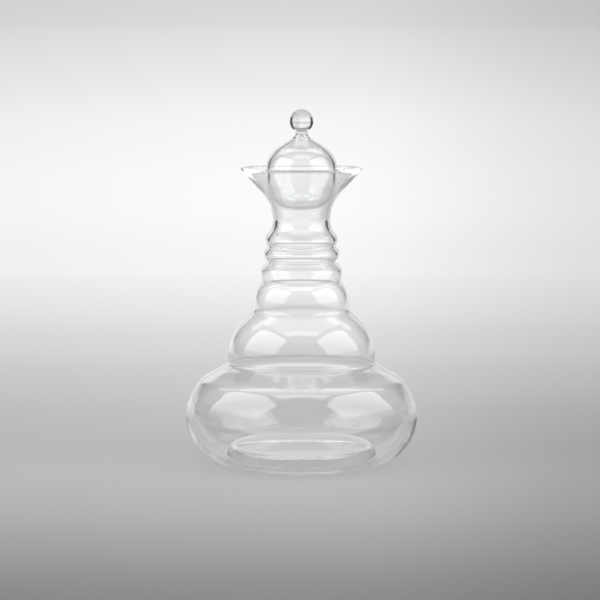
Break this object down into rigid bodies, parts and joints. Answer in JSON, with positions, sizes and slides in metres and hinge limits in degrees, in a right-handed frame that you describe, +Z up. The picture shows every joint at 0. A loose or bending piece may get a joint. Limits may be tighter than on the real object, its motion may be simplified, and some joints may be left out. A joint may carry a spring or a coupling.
{
  "type": "lidded glass carafe",
  "caption": "Clear blown-glass water carafe with a squat round bowl, a stepped and beaded neck, a funnel mouth and a hollow ball-shaped glass lid with a ball knob.",
  "frame": {"origin": "centre of the foot ring, on the surface that the carafe stands on", "axes": "+Z up along the axis that every piece is turned about; X and Y are alike"},
  "size_m": [0.17, 0.17, 0.2586],
  "materials": {
    "carafe_glass": "clear, fire-polished, mouth-blown",
    "lid_glass": "clear, fire-polished, mouth-blown",
    "knob_glass": "clear, solid, fire-polished"
  },
  "bodies": {
    "carafe": {"carafe_body": "carafe_glass"},
    "lid": {"lid_bulb": "lid_glass", "lid_knob": "knob_glass"}
  },
  "joints": [
    {"name": "lid_lift", "type": "slide", "parent": "carafe", "child": "lid", "axis": [0, 0, 1], "range_m": [0, 0.08]}
  ]
}
